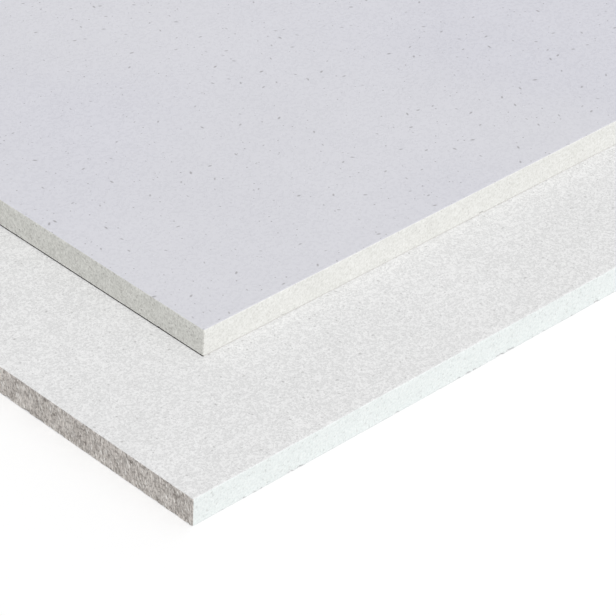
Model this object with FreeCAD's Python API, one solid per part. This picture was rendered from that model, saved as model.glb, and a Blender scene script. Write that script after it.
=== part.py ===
import FreeCAD, Part  # FreeCAD is loaded first, because Part needs it
import os

# Gypsum fibre floor element: two equal boards, bonded face to face and offset along both
# axes, so that two neighbouring edges carry a ledge and the other two an overhang.  The
# ledge of one element goes under the overhang of the next.
#
# Units are millimetres, +Z is up and the boards' length runs along X.  The origin is the
# centre of the element's footprint, on the floor.  The lower board lies towards -X -Y and
# the upper board towards +X +Y.

# Driving dimensions
BOARD_LENGTH = 1500.0  # each board, along X
BOARD_WIDTH = 500.0  # each board, along Y
LOWER_THICKNESS = 10.0
UPPER_THICKNESS = 10.0
END_REBATE = 50.0  # ledge at the -X end, and overhang at the +X end
SIDE_REBATE = 50.0  # ledge along the -Y side, and overhang along the +Y side
ARRIS = 0.4  # break along every arris of a sawn board

# The two boards' near corners and the footprint that they cover together
FOOTPRINT = FreeCAD.Vector(BOARD_LENGTH + END_REBATE, BOARD_WIDTH + SIDE_REBATE, 0)
LOWER_CORNER = FOOTPRINT * -0.5
UPPER_CORNER = LOWER_CORNER + FreeCAD.Vector(END_REBATE, SIDE_REBATE, LOWER_THICKNESS)


def sawn_board(thickness, corner):
    """One board with every arris broken; corner is its lowest point towards -X -Y."""
    slab = Part.makeBox(BOARD_LENGTH, BOARD_WIDTH, thickness, corner)
    return slab.makeChamfer(ARRIS, slab.Edges)


def shared_footprint():
    """The rectangle in which the two boards' outlines overlap, as a flat face between them."""
    length = BOARD_LENGTH - END_REBATE
    width = BOARD_WIDTH - SIDE_REBATE
    return Part.makePlane(length, width, UPPER_CORNER)


def imprinted(board, outline):
    """The board with outline cut into its face, so that the bond and the ledge are two faces."""
    pieces, _ = board.generalFuse([outline])
    return pieces.Solids[0]


def main():
    """Builds both boards and writes one STEP file for each."""
    outline = shared_footprint()
    boards = {
        "lower_board": sawn_board(LOWER_THICKNESS, LOWER_CORNER),
        "upper_board": sawn_board(UPPER_THICKNESS, UPPER_CORNER),
    }
    os.makedirs("parts", exist_ok=True)
    for name, board in boards.items():
        solid = imprinted(board, outline)
        solid.exportStep(f"parts/{name}.step")
        print(f"{name}: {solid.Volume / 1000:.1f} cm3, {len(solid.Faces)} faces")


main()
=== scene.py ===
"""Looks of the gypsum fibre floor board: its two bonded boards, the ground, the light and the camera.

Lengths are in metres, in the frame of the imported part: +Z is up, the boards' length runs along X, and
the corner with the two ledges points towards -X -Y.
"""

import itertools
import logging
import math
from dataclasses import dataclass, field
from enum import Enum

import bpy
import numpy as np
from mathutils import Matrix, Vector


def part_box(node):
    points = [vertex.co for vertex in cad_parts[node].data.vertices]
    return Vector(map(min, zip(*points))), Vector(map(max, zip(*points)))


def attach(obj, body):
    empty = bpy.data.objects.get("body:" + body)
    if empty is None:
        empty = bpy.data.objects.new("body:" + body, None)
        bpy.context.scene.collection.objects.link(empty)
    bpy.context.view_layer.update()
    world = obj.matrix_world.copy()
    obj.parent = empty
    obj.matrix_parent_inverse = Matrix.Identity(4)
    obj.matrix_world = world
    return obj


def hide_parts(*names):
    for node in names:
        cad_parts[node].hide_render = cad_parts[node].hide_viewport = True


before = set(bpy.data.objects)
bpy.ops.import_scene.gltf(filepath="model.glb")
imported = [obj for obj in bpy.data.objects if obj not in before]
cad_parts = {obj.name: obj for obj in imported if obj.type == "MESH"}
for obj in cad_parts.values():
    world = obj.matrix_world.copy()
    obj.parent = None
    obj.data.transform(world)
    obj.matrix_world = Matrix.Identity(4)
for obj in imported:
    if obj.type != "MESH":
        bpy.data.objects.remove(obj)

LOG = logging.getLogger("floor_board")
MM = 0.001
MIDDLE = 0.5
QUARTER_TURN = math.pi / 2
Colour = tuple[float, float, float, float]
Socket = bpy.types.NodeSocket


def paint(red: float, green: float, blue: float) -> Colour:
    """A linear colour from red, green and blue as a paint chart gives them, each up to 255.

    Each share of 255 is divided by 12.92 up to 0.04045, and above that it is raised by 0.055,
    divided by 1.055 and taken to the power of 2.4.

    Args:
        red: red share, 0 to 255.
        green: green share, 0 to 255.
        blue: blue share, 0 to 255.

    Returns:
        The linear colour with an alpha of 1.
    """
    shares = np.array([red, green, blue]) / 255
    low = shares / 12.92
    high = ((shares + 0.055) / 1.055) ** 2.4
    return (*np.where(shares <= 0.04045, low, high).tolist(), 1.0)


class Surface(Enum):
    """The kinds of surface on a board, in the order of its material slots."""

    FACE = 0
    SIDE = 1
    END = 2
    # The glue band's two surfaces are painted shade: deep shade where the joint lies in shadow on the
    # -X end, faint shade on the lit sides.
    JOINT_PAINTED_DEEP_SHADE = 3
    JOINT_PAINTED_FAINT_SHADE = 4


@dataclass(frozen=True)
class Grit:
    """Smooth random relief, worked out from a seeded lattice of random heights."""

    seed: int
    lattice_size: int = 61

    def sample(self, points: np.ndarray, cell: np.ndarray | float) -> np.ndarray:
        """Random heights that vary smoothly from one lattice node to the next.

        Each point takes the heights at the eight nodes round it, weighted along every axis by the
        S curve 3 t^2 - 2 t^3 of its place t between them.

        Args:
            points: positions, with x, y and z along the last axis.
            cell: distance between the nodes, one value or one for each axis.

        Returns:
            Heights from 0 to 1, one for each position.
        """
        size = self.lattice_size
        lattice = np.random.default_rng(self.seed).random((size, size, size))
        place = points / cell
        node = np.floor(place).astype(int)
        part = place - node
        share = part * part * (3 - 2 * part)
        height = np.zeros(points.shape[:-1])
        for corner in itertools.product((0, 1), repeat=3):
            step = np.array(corner)
            weight = np.where(step == 1, share, 1 - share).prod(axis=-1)
            index = (node + step) % size
            height += weight * lattice[index[..., 0], index[..., 1], index[..., 2]]
        return height

    def rough(self, points: np.ndarray, cell: np.ndarray | float, layers: int = 3) -> np.ndarray:
        """Relief in several layers, each half as wide and half as high as the last.

        Args:
            points: positions, with x, y and z along the last axis.
            cell: distance between the first layer's nodes.
            layers: how many there are.

        Returns:
            Heights from 0 to 1, one for each position.
        """
        halves = 0.5 ** np.arange(layers)
        sheets = [half * self.sample(points, np.asarray(cell) * half) for half in halves]
        return np.sum(sheets, axis=0) / halves.sum()


@dataclass(frozen=True)
class Outline:
    """Stations round a rectangle, closer together towards its ledge corner.

    The rectangle is the unit square here.  The walk starts at the ledge corner and goes along -Y,
    +X, +Y and -X, anticlockwise from above.
    """

    stations: tuple[int, int, int, int]
    closeness: tuple[float, float, float, float] = (0.3, 1.0, 1.0, 0.42)
    corner_stations: int = 3

    def spread(self, side: int) -> np.ndarray:
        """Shares of one side at which its stations stand.

        A share is c t + (1 - c) t^3, where t goes evenly from 0 to 1 and c is the side's closeness,
        counted from the ledge corner.

        Args:
            side: 0 to 3, in the order of the walk.

        Returns:
            Rising shares from 0 to 1.
        """
        even = np.linspace(0, 1, self.stations[side])
        close = self.closeness[side]
        last_side = side == len(self.stations) - 1
        if last_side:
            even = 1 - even
        share = close * even + (1 - close) * even**3
        return 1 - share if last_side else share

    def walk(self) -> tuple[np.ndarray, np.ndarray, np.ndarray]:
        """Places and directions of all the stations, with a few that turn about each corner.

        Returns:
            The places on the square from -1 to 1, the outward directions as unit vectors, and the
            distance walked, which is the side's number plus the share of it.
        """
        corners = np.array([[-1, -1], [1, -1], [1, 1], [-1, 1]], dtype=float)
        places, turns, walked = [], [], []
        for side, start in enumerate(corners):
            end = corners[(side + 1) % len(corners)]
            share = self.spread(side)
            facing = (side - 1) * QUARTER_TURN
            turn = np.linspace(0, QUARTER_TURN, self.corner_stations + 2)[1:-1] + facing
            places += [start + share[:, None] * (end - start), np.tile(end, (len(turn), 1))]
            turns += [np.full(len(share), facing), turn]
            walked += [side + share, np.full(len(turn), side + 1.0)]
        angle = np.concatenate(turns)
        outward = np.stack([np.cos(angle), np.sin(angle)], axis=-1)
        return np.concatenate(places), outward, np.concatenate(walked)


@dataclass(frozen=True)
class Section:
    """The line that a board's surface follows over its edge, from the top face to the underside.

    A bonded board's sawn edge ends a little above the board below it.  A line of glue, set back
    from the edge, closes that joint.
    """

    thickness: float
    glue_height: float = 0.0
    glue_set_back: float = 0.08 * MM
    top_arris: float = 0.45 * MM
    bottom_arris: float = 0.08 * MM
    rim: float = 1.6 * MM
    edge_slope: float = 0.55
    edge_rows: int = 19
    arris_rows: int = 4
    face_rows: tuple[float, ...] = (1.0, 0.7, 0.45)
    under_rows: tuple[float, ...] = (0.4, 1.0)

    @property
    def sawn_end(self) -> float:
        """How far below the top face the sawn edge ends."""
        return self.thickness - self.glue_height

    def arris(self, radius: float) -> tuple[np.ndarray, np.ndarray]:
        """A quarter of a circle that leaves a face and ends on the edge.

        Args:
            radius: size of the broken arris.

        Returns:
            How far each point stands in from the edge, and how far below the face.
        """
        turn = np.linspace(0, QUARTER_TURN, self.arris_rows + 1)
        return radius * (1 - np.sin(turn)), radius * (1 - np.cos(turn))

    def line(self) -> tuple[np.ndarray, np.ndarray]:
        """The whole section, from the top face's rim to the underside's.

        Returns:
            How far each row stands in from the edge, and how far below the top face.
        """
        top_in, top_down = self.arris(self.top_arris)
        low_in, low_up = (part[::-1] for part in self.arris(self.bottom_arris))
        edge = np.linspace(self.top_arris, self.sawn_end - self.bottom_arris, self.edge_rows + 1)[1:-1]
        face_in = self.rim * np.array(self.face_rows)
        glue_down = np.array([self.sawn_end, self.thickness] if self.glue_height else [])
        under_in = self.rim * np.array(self.under_rows)
        stand_in = [
            face_in,
            top_in,
            np.zeros(len(edge)),
            low_in,
            np.full(len(glue_down), self.glue_set_back),
            under_in,
        ]
        below = [
            np.zeros(len(face_in)),
            top_down,
            edge,
            self.sawn_end - low_up,
            glue_down,
            np.full(len(under_in), self.thickness),
        ]
        return np.concatenate(stand_in), np.concatenate(below)

    def normals(self) -> tuple[np.ndarray, np.ndarray]:
        """The section's outward direction in each row: its tangent, turned a quarter circle.

        Returns:
            The outward shares and the upward ones.
        """
        stand_in, below = self.line()
        run_in, run_down = np.gradient(stand_in), np.gradient(below)
        size = np.hypot(run_in, run_down)
        return run_down / size, -run_in / size


@dataclass(frozen=True)
class Wear:
    """How rough a board's sawn edges are, and how far its arrises have crumbled."""

    seed: int
    side_depth: float = 0.05 * MM
    end_depth: float = 0.07 * MM
    grain_cell: float = 0.9 * MM
    torn_depth: float = 0.0
    stroke_cells: tuple[float, float, float] = (0.6 * MM, 0.6 * MM, 2.3 * MM)
    stroke_slant: float = -0.5
    stroke_level: float = 0.5
    stroke_gain: float = 1.35
    hole_cell: float = 1.1 * MM
    hole_level: float = 0.68
    hole_gain: float = 4.0
    uneven_cell: float = 7 * MM
    uneven_share: float = 0.45
    chip_depth: float = 0.35 * MM
    chip_share: float = 0.3
    chip_reach: float = 0.5 * MM
    chip_cell: float = 1.5 * MM
    chip_gain: float = 4.0
    drift_cell: float = 38 * MM
    drift_share: float = 0.16

    def torn(self, points: np.ndarray) -> np.ndarray:
        """Short torn strokes and holes on an edge that was cut roughly.

        They are the places where relief with long narrow cells rises over a level, upright and
        slanting ones added together, times a slow unevenness along the edge.

        Args:
            points: positions on the clean surface.

        Returns:
            How deeply each one is torn, from 0 to 1.
        """
        x, y, z = np.moveaxis(points, -1, 0)
        slanted = np.stack([x, y + self.stroke_slant * z, z - self.stroke_slant * y], axis=-1)
        cells = np.array(self.stroke_cells)
        upright_strokes = Grit(self.seed + 1).rough(points, cells, layers=2) - self.stroke_level
        slanted_strokes = Grit(self.seed + 2).rough(slanted, cells, layers=2) - self.stroke_level
        strokes = self.stroke_gain * (np.clip(upright_strokes, 0, 1) + np.clip(slanted_strokes, 0, 1))
        holes = Grit(self.seed + 3).sample(points, self.hole_cell) - self.hole_level
        uneven = 1 - self.uneven_share * Grit(self.seed + 4).sample(points, self.uneven_cell)
        return np.clip(strokes + np.clip(self.hole_gain * holes, 0, 1), 0, 1) * uneven

    def chips(self, points: np.ndarray) -> np.ndarray:
        """Crumbs missing from an arris: relief over a level that drifts slowly along it.

        Args:
            points: positions on the clean surface.

        Returns:
            How much of the full depth is missing at each one, from 0 to 1.
        """
        drift = self.drift_share * (Grit(self.seed + 5).sample(points, self.drift_cell) - MIDDLE)
        crumbs = Grit(self.seed + 6).rough(points, self.chip_cell, layers=2) - (1 - self.chip_share)
        return np.clip((crumbs + drift) * self.chip_gain, 0, 1)

    def depth(
        self, points: np.ndarray, section: Section, facing_end: np.ndarray, to_corner: np.ndarray
    ) -> np.ndarray:
        """How far the worn surface lies inside the clean one.

        Grain and torn strokes lie on the edge itself, and chips near an arris, with a bell curve
        of the distance to it.

        Args:
            points: clean surface, rows of the section by stations of the outline.
            section: the section, for how far each row is from its two arrises.
            facing_end: for each station, 1 on the -X end and 0 elsewhere.
            to_corner: for each point, how far it is from the nearest corner, seen from above.

        Returns:
            A depth for each point, nothing on the first and last rows.
        """
        stand_in, below = section.line()
        outward, _ = section.normals()
        walked = np.concatenate([[0], np.cumsum(np.hypot(np.diff(stand_in), np.diff(below)))])
        lower_half_of_arris = section.top_arris / 3
        arris_depths = [lower_half_of_arris, section.sawn_end - section.bottom_arris]
        along = [np.abs(walked - walked[row]) for row in np.searchsorted(below, arris_depths)]
        to_arris = np.minimum(np.minimum(*along)[:, None], to_corner)
        near_arris = np.exp(-((to_arris / self.chip_reach) ** 2))
        on_edge = (outward**2)[:, None]
        grain = Grit(self.seed).rough(points, self.grain_cell)
        fine = (self.side_depth + (self.end_depth - self.side_depth) * facing_end) * grain
        torn = self.torn_depth * facing_end * self.torn(points)
        worn = on_edge * (fine + torn) + near_arris * self.chip_depth * self.chips(points)
        worn[0] = 0
        worn[-1] = 0
        return worn


class MeshParts:
    """Collects the patches of one closed mesh."""

    def __init__(self) -> None:
        """Starts with no points and no faces."""
        self.points: list[np.ndarray] = []
        self.relief: list[np.ndarray] = []
        self.faces: list[np.ndarray] = []
        self.slots: list[np.ndarray] = []
        self.smooth: list[np.ndarray] = []
        self.count = 0

    def add_points(self, points: np.ndarray, relief: np.ndarray | None = None) -> np.ndarray:
        """Adds points and numbers them.

        Args:
            points: positions, with x, y and z along the last axis.
            relief: how far each one lies inside the clean surface, if it is worn.

        Returns:
            Their numbers, in an array of the same shape without the last axis.
        """
        shape = points.shape[:-1]
        total = int(np.prod(shape))
        self.points.append(points.reshape(-1, 3))
        self.relief.append(np.zeros(total) if relief is None else relief.ravel())
        numbers = np.arange(self.count, self.count + total).reshape(shape)
        self.count += total
        return numbers

    def add_faces(
        self,
        faces: np.ndarray,
        slots: np.ndarray | int = Surface.FACE.value,
        smooth: np.ndarray | bool = True,
    ) -> None:
        """Adds faces.

        Args:
            faces: one row of point numbers for each.
            slots: their material slots.
            smooth: whether they are shaded as one rounded surface with their neighbours.
        """
        self.faces.append(faces)
        self.slots.append(np.broadcast_to(slots, len(faces)))
        self.smooth.append(np.broadcast_to(smooth, len(faces)))

    def mesh(self, name: str) -> bpy.types.Mesh:
        """Joins the patches and stores the wear in a point attribute, relief.

        Args:
            name: the mesh's name.

        Returns:
            The finished mesh.
        """
        mesh = bpy.data.meshes.new(name)
        faces = itertools.chain.from_iterable(patch.tolist() for patch in self.faces)
        mesh.from_pydata(np.concatenate(self.points), [], list(faces))
        mesh.polygons.foreach_set("material_index", np.concatenate(self.slots).astype(np.int32))
        mesh.polygons.foreach_set("use_smooth", np.concatenate(self.smooth))
        wear = mesh.attributes.new("relief", "FLOAT", "POINT")
        wear.data.foreach_set("value", np.concatenate(self.relief).astype(np.float32))
        mesh.update()
        return mesh


class Mix:
    """The node tree of one gypsum material, with the few kinds of node that it needs."""

    def __init__(self, name: str) -> None:
        """Starts a material that reads object coordinates."""
        self.material = bpy.data.materials.new(name)
        self.material.use_nodes = True
        self.tree = self.material.node_tree
        self.place = self.add("ShaderNodeTexCoord").outputs["Object"]

    def add(self, kind: str, inputs: dict | None = None, **options: object) -> bpy.types.Node:
        """Adds a node.

        Args:
            kind: Blender's name of the node.
            inputs: a value or a socket for each input, by name or number.
            options: the node's own settings.

        Returns:
            The new node.
        """
        node = self.tree.nodes.new(kind)
        for option, value in options.items():
            setattr(node, option, value)
        for key, value in (inputs or {}).items():
            if isinstance(value, Socket):
                self.tree.links.new(value, node.inputs[key])
            else:
                node.inputs[key].default_value = value
        return node

    def math(self, operation: str, *terms: Socket | float) -> Socket:
        """The result of one arithmetic step."""
        return self.add("ShaderNodeMath", dict(enumerate(terms)), operation=operation).outputs[0]

    def total(self, start: float, *terms: Socket) -> Socket:
        """Adds several values up.

        Args:
            start: the value to begin with.
            terms: what is added to it.

        Returns:
            The sum.
        """
        result: Socket | float = start
        for term in terms:
            result = self.math("ADD", result, term)
        return result

    def noise(self, cell: float, detail: float = 2.0, place: Socket | None = None) -> Socket:
        """Smooth noise from 0 to 1, whose spots are about a cell across."""
        inputs = {"Vector": place or self.place, "Scale": 1 / cell, "Detail": detail}
        return self.add("ShaderNodeTexNoise", inputs).outputs["Fac"]

    def strokes(self, cells: tuple[float, float, float], lean: float = 0.0) -> Socket:
        """Noise from 0 to 1 in long narrow cells.

        Args:
            cells: a cell's length along each axis.
            lean: how far the cells lean over about the X axis.

        Returns:
            The noise.
        """
        inputs = {"Vector": self.place, "Scale": cells, "Rotation": (lean, 0.0, 0.0)}
        mapped = self.add("ShaderNodeMapping", inputs, vector_type="TEXTURE").outputs[0]
        return self.noise(cell=1.0, detail=1.0, place=mapped)

    def step(self, value: Socket, low: float, high: float) -> Socket:
        """A soft step from 0 at low to 1 at high."""
        inputs = {"Value": value, "From Min": low, "From Max": high}
        return self.add("ShaderNodeMapRange", inputs, interpolation_type="SMOOTHSTEP").outputs["Result"]

    def threshold(self, value: Socket, level: float, softness: float = 0.08) -> Socket:
        """A step from 0 to 1 at a level, as wide as twice the softness."""
        return self.step(value, level - softness, level + softness)

    def weighted(self, value: Socket, weight: float) -> Socket:
        """A value's difference from one half, times a weight."""
        return self.math("MULTIPLY", self.math("SUBTRACT", value, MIDDLE), weight)

    def blend(self, share: Socket, first: Colour | Socket, second: Colour | Socket) -> Socket:
        """A colour between two others."""
        inputs = {0: share, 6: first, 7: second}
        return self.add("ShaderNodeMix", inputs, data_type="RGBA").outputs[2]

    def specks(self, spacing: float, share: float, length: float, width: float) -> Socket:
        """Short dashes lying every way on a level face, from 0 to 1.

        The face is split into cells, each with a random centre and a random colour.  The place in a
        cell is turned by an angle that the colour gives, and divided by the dash's length and width,
        so that the dash is where the result is shorter than 1.

        Args:
            spacing: size of the cells.
            share: share of the cells that hold a dash.
            length: half the length of the longest dash.
            width: half its width.

        Returns:
            How strongly the dash shows.
        """
        inputs = {"Vector": self.place, "Scale": 1 / spacing}
        cell = self.add("ShaderNodeTexVoronoi", inputs, voronoi_dimensions="2D")
        chance = self.add("ShaderNodeSeparateColor", {0: cell.outputs["Color"]}).outputs
        away = {0: self.place, 1: cell.outputs["Position"]}
        offset = self.add("ShaderNodeVectorMath", away, operation="SUBTRACT").outputs[0]
        angle = self.math("MULTIPLY", chance[0], math.tau)
        turning = {"Vector": offset, "Angle": angle}
        turned = self.add("ShaderNodeVectorRotate", turning, rotation_type="Z_AXIS").outputs[0]
        shrinking = {0: turned, 1: (1 / length, 1 / width, 0.0)}
        shrunk = self.add("ShaderNodeVectorMath", shrinking, operation="MULTIPLY").outputs[0]
        far = self.add("ShaderNodeVectorMath", {0: shrunk}, operation="LENGTH").outputs["Value"]
        smallest = 0.3
        size = self.math("MULTIPLY_ADD", chance[1], 1 - smallest, smallest)
        faded = self.step(self.math("DIVIDE", far, size), low=0.3, high=1.4)
        inside = self.math("SUBTRACT", 1.0, faded)
        kept = self.math("LESS_THAN", chance[2], share)
        return self.math("MULTIPLY", self.math("MULTIPLY", inside, kept), size)

    def close(
        self, colour: Socket, height: Socket, depth: float, roughness: Socket, sheen: float = 0.25
    ) -> bpy.types.Material:
        """Joins colour and relief to the shader.

        Args:
            colour: the surface's colour.
            height: its relief, from 0 to 1.
            depth: what a relief of 1 measures.
            roughness: its roughness.
            sheen: how strongly it reflects, where 0.5 is usual for a hard, clean surface.

        Returns:
            The finished material.
        """
        bump = self.add("ShaderNodeBump", {"Height": height, "Distance": depth}).outputs[0]
        shader = self.tree.nodes["Principled BSDF"]
        shader.inputs["Specular IOR Level"].default_value = sheen
        self.tree.links.new(colour, shader.inputs["Base Color"])
        self.tree.links.new(bump, shader.inputs["Normal"])
        self.tree.links.new(roughness, shader.inputs["Roughness"])
        return self.material


@dataclass(frozen=True)
class Finish:
    """What every gypsum surface has: a name, a light tint and a dark one, grain and a roughness."""

    name: str
    light: Colour
    dark: Colour
    grain_cell: float = 0.7 * MM
    grain_weight: float = 0.6
    smoothest: float = 0.82
    roughness_range: float = 0.12

    def material(self) -> bpy.types.Material:
        """The finish as a material."""
        raise NotImplementedError


@dataclass(frozen=True)
class PressedFace(Finish):
    """A face that was pressed flat: faint clouds, fine grain, pits, and specks of paper fibre."""

    fibre: Colour = paint(112, 108, 106)
    drift: Colour = paint(219, 219, 220)
    drift_cell: float = 180 * MM
    drift_strength: float = 0.25
    cloud_cell: float = 45 * MM
    cloud_weight: float = 0.5
    smudge_cell: float = 6 * MM
    smudge_weight: float = 0.3
    pit_cell: float = 1.2 * MM
    pit_level: float = 0.55
    pit_tint: float = 0.3
    pit_depth: float = 0.05 * MM
    dash_spacing: float = 6.5 * MM
    dash_share: float = 0.45
    dash_length: float = 0.9 * MM
    dash_width: float = 0.42 * MM
    dot_spacing: float = 2.9 * MM
    dot_share: float = 0.22
    dot_length: float = 0.32 * MM
    dot_width: float = 0.29 * MM
    fibre_strength: float = 0.55
    grain_rise: float = 0.5

    def material(self) -> bpy.types.Material:
        """Tone from clouds, smudges and grain, less the pits, then a drift of tint, then fibre specks.

        Returns:
            The material.
        """
        mix = Mix(self.name)
        clouds = mix.weighted(mix.noise(self.cloud_cell, detail=3.0), self.cloud_weight)
        smudges = mix.weighted(mix.noise(self.smudge_cell, detail=2.0), self.smudge_weight)
        grain = mix.noise(self.grain_cell, detail=4.0)
        pits = mix.threshold(mix.noise(self.pit_cell, detail=3.0), self.pit_level)
        tone = mix.total(MIDDLE, clouds, smudges, mix.weighted(grain, self.grain_weight))
        tone = mix.math("SUBTRACT", tone, mix.math("MULTIPLY", pits, self.pit_tint))
        plain = mix.blend(tone, self.dark, self.light)
        drift = mix.threshold(mix.noise(self.drift_cell, detail=1.0), MIDDLE)
        plain = mix.blend(mix.math("MULTIPLY", drift, self.drift_strength), plain, self.drift)
        dashes = mix.specks(self.dash_spacing, self.dash_share, self.dash_length, self.dash_width)
        dots = mix.specks(self.dot_spacing, self.dot_share, self.dot_length, self.dot_width)
        marks = mix.math("MULTIPLY", mix.math("MAXIMUM", dashes, dots), self.fibre_strength)
        colour = mix.blend(marks, plain, self.fibre)
        height = mix.math("SUBTRACT", mix.math("MULTIPLY", grain, self.grain_rise), pits)
        roughness = mix.math("MULTIPLY_ADD", grain, self.roughness_range, self.smoothest)
        return mix.close(colour, height, self.pit_depth, roughness)


@dataclass(frozen=True)
class SawnEdge(Finish):
    """A sawn edge: blotches, grain, saw marks, torn pits and the pale ends of fibres."""

    pit: Colour = paint(120, 112, 106)
    fibre: Colour = paint(250, 248, 244)
    blotch_cell: float = 6 * MM
    blotch_weight: float = 0.35
    saw_cells: tuple[float, float, float] = (0.5 * MM, 0.5 * MM, 4 * MM)
    saw_lean: float = math.radians(8)
    saw_weight: float = 0.3
    pit_cell: float = 0.9 * MM
    pit_level: float = 0.66
    pit_strength: float = 0.2
    fibre_cells: tuple[float, float, float] = (0.38 * MM, 0.38 * MM, 2.6 * MM)
    fibre_lean: float = math.radians(24)
    fibre_level: float = 0.66
    fibre_strength: float = 0.3
    fibre_rise: float = 0.5
    depth: float = 0.06 * MM
    # Painted shade in worn hollows: how far the colour darkens for each millimetre of worn relief.
    hollow_painted_shade: float = 0.0

    def material(self) -> bpy.types.Material:
        """Tone from blotches, grain and saw marks, then dark pits and painted shade in the worn
        hollows, then fibre ends.

        Returns:
            The material.
        """
        mix = Mix(self.name)
        blotches = mix.weighted(mix.noise(self.blotch_cell, detail=2.0), self.blotch_weight)
        grain = mix.noise(self.grain_cell, detail=4.0)
        saw_marks = mix.weighted(mix.strokes(self.saw_cells, self.saw_lean), self.saw_weight)
        tone = mix.total(MIDDLE, blotches, mix.weighted(grain, self.grain_weight), saw_marks)
        plain = mix.blend(tone, self.dark, self.light)
        pits = mix.threshold(mix.noise(self.pit_cell, detail=2.0), self.pit_level)
        # Painted shade: the colour darkens towards the pit colour where the worn relief lies deep.
        wear = mix.add("ShaderNodeAttribute", attribute_name="relief").outputs["Fac"]
        shade = mix.math("MULTIPLY", wear, self.hollow_painted_shade / MM)
        shade = mix.math("MAXIMUM", shade, mix.math("MULTIPLY", pits, self.pit_strength))
        pitted = mix.blend(mix.math("MINIMUM", shade, 1.0), plain, self.pit)
        fibres = mix.threshold(mix.strokes(self.fibre_cells, self.fibre_lean), self.fibre_level)
        fibres = mix.math("MULTIPLY", fibres, self.fibre_strength)
        colour = mix.blend(fibres, pitted, self.fibre)
        raised = mix.math("ADD", grain, mix.math("MULTIPLY", fibres, self.fibre_rise))
        roughness = mix.math("MULTIPLY_ADD", grain, self.roughness_range, self.smoothest)
        return mix.close(colour, mix.math("SUBTRACT", raised, pits), self.depth, roughness)


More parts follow.
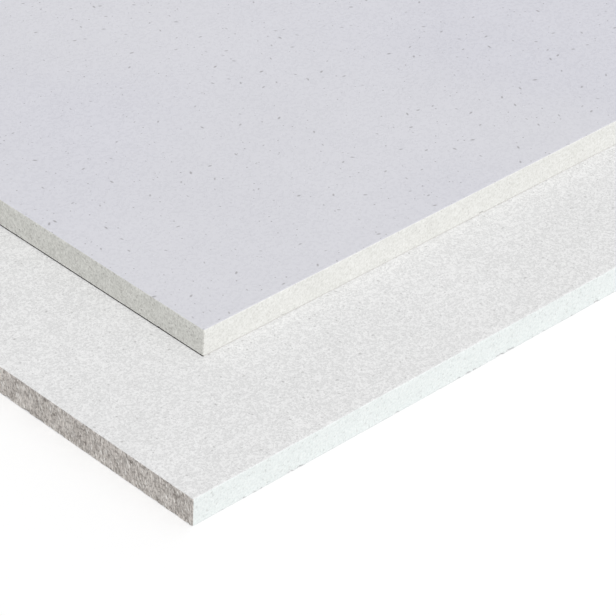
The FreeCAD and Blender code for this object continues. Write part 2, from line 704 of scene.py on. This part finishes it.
@dataclass
class GypsumBoard:
    """One sawn board: a belt round its edge, closed by a cap on its face and one on its underside."""

    node: str
    piece: str
    wear: Wear
    finishes: dict[Surface, Finish]
    glue_height: float = 0.0
    stations: tuple[int, int, int, int] = (1250, 150, 380, 600)
    cap_stations: tuple[int, int, int, int] = (400, 70, 170, 190)
    cap_step: float = 4.0 * MM
    grid_inset: float = 16.0 * MM
    grid_cells: tuple[int, int] = (96, 32)
    centre: np.ndarray = field(init=False)
    half: np.ndarray = field(init=False)
    top: float = field(init=False)
    bottom: float = field(init=False)
    section: Section = field(init=False)

    def __post_init__(self) -> None:
        """Takes the board's place and size from its node in the frame."""
        low, high = (np.array(corner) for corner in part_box(self.node))
        self.centre = (low + high)[:2] / 2
        self.half = (high - low)[:2] / 2
        self.bottom, self.top = low[2], high[2]
        self.section = Section(self.top - self.bottom, self.glue_height)

    def ring(self, inset: float, square: np.ndarray, height: float) -> np.ndarray:
        """Points of a square's boundary, stretched to the board's outline less an inset."""
        flat = self.centre + (self.half - inset) * square
        return np.concatenate([flat, np.full((*flat.shape[:-1], 1), height)], axis=-1)

    def belt(self, parts: MeshParts) -> tuple[np.ndarray, np.ndarray]:
        """The rim of the face, the sawn edge and the rim of the underside, all the way round.

        A point is the square's boundary times the half size less the row's inset and the corner's
        radius, plus that radius along the outward direction.  Wear then moves it inwards, against
        the section's normal.

        Args:
            parts: where the belt goes.

        Returns:
            The point numbers, rows by stations, and the distance walked to each station.
        """
        section = self.section
        stand_in, below = section.line()
        out, up = section.normals()
        square, outward, walked = Outline(self.stations).walk()
        radius = section.top_arris
        facing_end = np.clip(-outward[:, 0], 0, 1) ** 2
        reach = self.half - (stand_in[:, None, None] + radius)
        flat = self.centre + reach * square + radius * outward
        height = np.broadcast_to(self.top - below[:, None], flat.shape[:-1])
        clean = np.concatenate([flat, height[..., None]], axis=-1)
        to_corner = np.linalg.norm(self.half - np.abs(flat - self.centre), axis=-1)
        worn = self.wear.depth(clean, section, facing_end, to_corner)
        upward = np.broadcast_to(up[:, None, None], (*worn.shape, 1))
        direction = np.concatenate([out[:, None, None] * outward, upward], axis=-1)
        numbers = parts.add_points(clean - worn[..., None] * direction, worn)
        beside = np.roll(numbers, -1, axis=1)
        quads = np.stack([numbers[:-1], numbers[1:], beside[1:], beside[:-1]], axis=-1)
        on_edge = np.minimum(out[:-1], out[1:])[:, None] > section.edge_slope
        at_end = facing_end > MIDDLE
        edge_slot = np.where(at_end, Surface.END.value, Surface.SIDE.value)
        slots = np.where(on_edge, edge_slot, Surface.FACE.value)
        # The glue band is painted shade: dark on the -X end, where the joint lies in shadow, and faint
        # grey on the other sides, which face the lamp.
        glued = ((below[1:] > section.sawn_end) & (stand_in[1:] <= section.glue_set_back))[:, None]
        joint_painted_shade_slot = np.where(at_end, Surface.JOINT_PAINTED_DEEP_SHADE.value, Surface.JOINT_PAINTED_FAINT_SHADE.value)
        slots = np.where(glued, joint_painted_shade_slot, slots)
        smooth = ~np.broadcast_to(glued, slots.shape)
        parts.add_faces(quads.reshape(-1, 4), slots.ravel(), smooth.ravel())
        return numbers, walked

    def stitch(
        self,
        parts: MeshParts,
        outer: tuple[np.ndarray, np.ndarray],
        inner: tuple[np.ndarray, np.ndarray],
        upwards: bool,
    ) -> None:
        """Triangles between a dense ring and a sparser one inside it.

        Every outer point goes with the inner point nearest to it round the walk.  Each outer side
        makes a triangle with its inner point, and where that point changes, a second triangle fills
        the step.

        Args:
            parts: where the triangles go.
            outer: point numbers of the dense ring and the distances walked.
            inner: the same of the sparse ring.
            upwards: whether the triangles face up.
        """
        outer_points, outer_walk = outer
        inner_points, inner_walk = inner
        whole_walk = float(len(self.stations))
        halfway = (inner_walk + np.append(inner_walk[1:], whole_walk)) / 2
        nearest = np.searchsorted(halfway, outer_walk) % len(inner_points)
        following = np.roll(nearest, -1)
        beside = np.roll(outer_points, -1)
        sides = np.stack([outer_points, beside, inner_points[nearest]], axis=-1)
        steps = np.stack([beside, inner_points[following], inner_points[nearest]], axis=-1)
        triangles = np.concatenate([sides, steps[following != nearest]])
        parts.add_faces(triangles if upwards else triangles[:, ::-1], Surface.FACE.value)

    def cap(self, parts: MeshParts, rim: tuple[np.ndarray, np.ndarray], upwards: bool) -> None:
        """Closes the belt over the face or the underside: a ring, and a grid inside it.

        Args:
            parts: where the cap goes.
            rim: point numbers of the belt's last row and the distances walked.
            upwards: whether this is the top face.
        """
        height = self.top if upwards else self.bottom
        square, _, walked = Outline(self.cap_stations, corner_stations=0).walk()
        fresh = np.append(True, np.diff(walked) > 0)
        fresh[-1] = False
        ring = parts.add_points(self.ring(self.section.rim + self.cap_step, square[fresh], height))
        self.stitch(parts, rim, (ring, walked[fresh]), upwards)
        columns, rows = self.grid_cells
        u, v = np.meshgrid(np.linspace(-1, 1, columns + 1), np.linspace(-1, 1, rows + 1), indexing="ij")
        grid = parts.add_points(self.ring(self.grid_inset, np.stack([u, v], axis=-1), height))
        cells = np.stack([grid[:-1, :-1], grid[1:, :-1], grid[1:, 1:], grid[:-1, 1:]], axis=-1)
        cells = cells.reshape(-1, 4)
        parts.add_faces(cells if upwards else cells[:, ::-1], Surface.FACE.value)
        border = np.concatenate([grid[:-1, 0], grid[-1, :-1], grid[:0:-1, -1], grid[0, :0:-1]])
        counts = (columns, rows, columns, rows)
        shares = [side + np.arange(count) / count for side, count in enumerate(counts)]
        self.stitch(parts, (ring, walked[fresh]), (border, np.concatenate(shares)), upwards)

    def build(self) -> bpy.types.Object:
        """Makes the board's mesh, dresses it and puts it in its node's place.

        Returns:
            The finished piece.
        """
        parts = MeshParts()
        belt, walked = self.belt(parts)
        self.cap(parts, (belt[0], walked), upwards=True)
        self.cap(parts, (belt[-1], walked), upwards=False)
        mesh = parts.mesh(self.piece)
        for finish in self.finishes.values():
            mesh.materials.append(finish.material())
        board = bpy.data.objects.new(self.piece, mesh)
        bpy.context.scene.collection.objects.link(board)
        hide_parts(self.node)
        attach(board, "root")
        return board


@dataclass(frozen=True)
class Studio:
    """A white ground, an even white surround and one broad lamp to the right of the camera."""

    ground_size: float = 12.0
    ground_drop: float = 0.1 * MM
    ground_tint: float = 0.8
    ground_lift: float = 0.2
    surround: float = 0.62
    lamp_strength: float = 1.57
    lamp_spread: float = math.radians(22)
    towards_lamp: tuple[float, float, float] = (-0.2, -0.6, 0.775)

    def seen_directly(self, tree: bpy.types.NodeTree) -> Socket:
        """Tells rays that look at a thing from light that falls on it.

        Args:
            tree: the node tree that asks.

        Returns:
            1 for a ray from the camera, a gloss or clear glass, and 0 for the others.
        """
        path = tree.nodes.new("ShaderNodeLightPath")
        total: Socket = path.outputs["Is Camera Ray"]
        for kind in ("Is Glossy Ray", "Is Transmission Ray"):
            either = tree.nodes.new("ShaderNodeMath")
            either.operation = "MAXIMUM"
            tree.links.new(total, either.inputs[0])
            tree.links.new(path.outputs[kind], either.inputs[1])
            total = either.outputs[0]
        return total

    def ground(self) -> bpy.types.Object:
        """A level square whose colour is lifted to white for the eye, and which keeps the shadow.

        Returns:
            The ground.
        """
        half = self.ground_size / 2
        corners = [(-half, -half), (half, -half), (half, half), (-half, half)]
        mesh = bpy.data.meshes.new("ground")
        mesh.from_pydata([(x, y, -self.ground_drop) for x, y in corners], [], [(0, 1, 2, 3)])
        material = bpy.data.materials.new("ground_white")
        material.use_nodes = True
        tree = material.node_tree
        tree.nodes.clear()
        matte = tree.nodes.new("ShaderNodeBsdfDiffuse")
        matte.inputs["Color"].default_value = (self.ground_tint,) * 3 + (1.0,)
        glow = tree.nodes.new("ShaderNodeEmission")
        lift = tree.nodes.new("ShaderNodeMath")
        lift.operation = "MULTIPLY"
        lift.inputs[1].default_value = self.ground_lift
        tree.links.new(self.seen_directly(tree), lift.inputs[0])
        tree.links.new(lift.outputs[0], glow.inputs["Strength"])
        both = tree.nodes.new("ShaderNodeAddShader")
        tree.links.new(matte.outputs[0], both.inputs[0])
        tree.links.new(glow.outputs[0], both.inputs[1])
        output = tree.nodes.new("ShaderNodeOutputMaterial")
        tree.links.new(both.outputs[0], output.inputs["Surface"])
        mesh.materials.append(material)
        ground = bpy.data.objects.new("ground", mesh)
        bpy.context.scene.collection.objects.link(ground)
        return ground

    def light(self) -> None:
        """Sets the surround, white where it is seen, and hangs the lamp."""
        world = bpy.data.worlds.new("surround")
        world.use_nodes = True
        tree = world.node_tree
        strength = tree.nodes.new("ShaderNodeMapRange")
        strength.inputs["To Min"].default_value = self.surround
        strength.inputs["To Max"].default_value = 1.0
        tree.links.new(self.seen_directly(tree), strength.inputs["Value"])
        backdrop = tree.nodes["Background"]
        backdrop.inputs["Color"].default_value = (1.0, 1.0, 1.0, 1.0)
        tree.links.new(strength.outputs["Result"], backdrop.inputs["Strength"])
        bpy.context.scene.world = world
        lamp = bpy.data.lights.new("lamp", "SUN")
        lamp.energy = self.lamp_strength
        lamp.angle = self.lamp_spread
        holder = bpy.data.objects.new("lamp", lamp)
        holder.rotation_euler = Vector(self.towards_lamp).to_track_quat("Z", "Y").to_euler()
        bpy.context.scene.collection.objects.link(holder)


@dataclass(frozen=True)
class CameraStand:
    """A long lens that looks down on the ledge corner, with the camera leaning a little."""

    offset: tuple[float, float, float] = (-0.4994, -0.5255, 0.5756)
    heading: float = math.radians(44.08)
    look_down: float = math.radians(34.45)
    lean: float = math.radians(3.0)
    lens: float = 186.6
    film: float = 36.0

    def place(self, corner: Vector) -> bpy.types.Object:
        """Stands the camera at its offset from the ledge corner.

        Args:
            corner: the ledge corner's lowest point.

        Returns:
            The camera.
        """
        level = Vector((math.cos(self.heading), math.sin(self.heading), 0.0))
        forward = math.cos(self.look_down) * level - Vector((0, 0, math.sin(self.look_down)))
        across = forward.cross(Vector((0, 0, 1))).normalized()
        above = across.cross(forward)
        right = math.cos(self.lean) * across + math.sin(self.lean) * above
        top = math.cos(self.lean) * above - math.sin(self.lean) * across
        turn = Matrix((right, top, -forward)).transposed().to_4x4()
        data = bpy.data.cameras.new("camera")
        data.lens = self.lens
        data.sensor_width = self.film
        camera = bpy.data.objects.new("camera", data)
        camera.matrix_world = Matrix.Translation(corner + Vector(self.offset)) @ turn
        bpy.context.scene.collection.objects.link(camera)
        bpy.context.scene.camera = camera
        return camera


def lower_board() -> GypsumBoard:
    """The board that shows as the ledge: brighter and more pitted, with a torn -X end whose grey is
    partly painted shade.

    Returns:
        The board with its wear and finishes.
    """
    face = PressedFace(
        "ledge_face",
        light=paint(248, 248, 248),
        dark=paint(218, 218, 218),
        grain_cell=0.45 * MM,
        grain_weight=1.8,
        drift=paint(231, 231, 232),
        drift_strength=0.1,
        cloud_weight=0.25,
        pit_cell=0.8 * MM,
        pit_level=0.53,
        pit_tint=0.4,
        pit_depth=0.08 * MM,
        dash_spacing=5 * MM,
        dash_share=0.4,
        dash_length=0.6 * MM,
        dot_spacing=2.2 * MM,
        fibre_strength=0.35,
    )
    side = SawnEdge(
        "ledge_side",
        light=paint(247, 251, 250),
        dark=paint(222, 228, 227),
        grain_weight=1.6,
    )
    # The -X end's darker grey is partly the torn finish and partly painted shade for a face that gets
    # little light.
    end = SawnEdge(
        "ledge_end_partly_painted_shade",
        light=paint(242, 236, 230),
        dark=paint(162, 156, 151),
        blotch_weight=0.8,
        grain_weight=1.7,
        saw_cells=(0.45 * MM, 0.45 * MM, 2.2 * MM),
        saw_lean=math.radians(-5),
        saw_weight=1.8,
        pit_cell=0.9 * MM,
        pit_level=0.61,
        pit_strength=0.65,
        fibre_cells=(0.4 * MM, 0.4 * MM, 3.0 * MM),
        fibre_lean=math.radians(-24),
        fibre_level=0.64,
        fibre_strength=0.85,
        depth=0.16 * MM,
        hollow_painted_shade=1.1,
    )
    wear = Wear(seed=11, end_depth=0.18 * MM, torn_depth=0.6 * MM, chip_depth=0.6 * MM, chip_share=0.42)
    finishes = {Surface.FACE: face, Surface.SIDE: side, Surface.END: end}
    return GypsumBoard("lower_board", "lower_gypsum_board", wear, finishes)


def upper_board() -> GypsumBoard:
    """The board that is walked on: smooth and faintly lavender, with warm white edges over the glue.

    Returns:
        The board with its wear and finishes.
    """
    face = PressedFace(
        "walking_face",
        light=paint(220, 220, 227),
        dark=paint(206, 206, 214),
        grain_cell=0.8 * MM,
        grain_weight=0.4,
    )
    side = SawnEdge(
        "upper_side",
        light=paint(247, 247, 244),
        dark=paint(219, 219, 214),
        grain_weight=1.7,
    )
    end = SawnEdge(
        "upper_end",
        light=paint(241, 241, 236),
        dark=paint(187, 187, 181),
        grain_weight=1.5,
        pit_strength=0.4,
        depth=0.09 * MM,
    )
    # Painted shade in the joint under the board: dark on the -X end, which lies in shadow, and a faint
    # grey line on the lit sides.
    joint_painted_deep_shade = SawnEdge(
        "glue_joint_with_painted_deep_shade",
        light=paint(66, 64, 61),
        dark=paint(40, 38, 36),
        fibre_strength=0.05,
    )
    joint_painted_faint_shade = SawnEdge(
        "glue_joint_with_painted_faint_shade",
        light=paint(228, 227, 223),
        dark=paint(211, 210, 205),
    )
    wear = Wear(seed=23, end_depth=0.1 * MM)
    finishes = {
        Surface.FACE: face,
        Surface.SIDE: side,
        Surface.END: end,
        Surface.JOINT_PAINTED_DEEP_SHADE: joint_painted_deep_shade,
        Surface.JOINT_PAINTED_FAINT_SHADE: joint_painted_faint_shade,
    }
    return GypsumBoard("upper_board", "upper_gypsum_board", wear, finishes, glue_height=0.46 * MM)


def main() -> None:
    """Builds both boards, then the studio and the camera."""
    logging.basicConfig(level=logging.INFO, format="%(name)s: %(message)s")
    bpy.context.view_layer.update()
    for board in (lower_board(), upper_board()):
        piece = board.build()
        LOG.info("%s: %d faces", piece.name, len(piece.data.polygons))
    studio = Studio()
    LOG.info("%s laid", studio.ground().name)
    studio.light()
    corner = Vector(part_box("lower_board")[0])
    LOG.info("%s set", CameraStand().place(corner).name)
    bpy.context.scene.view_settings.view_transform = "Standard"


if __name__ == "__main__":
    main()
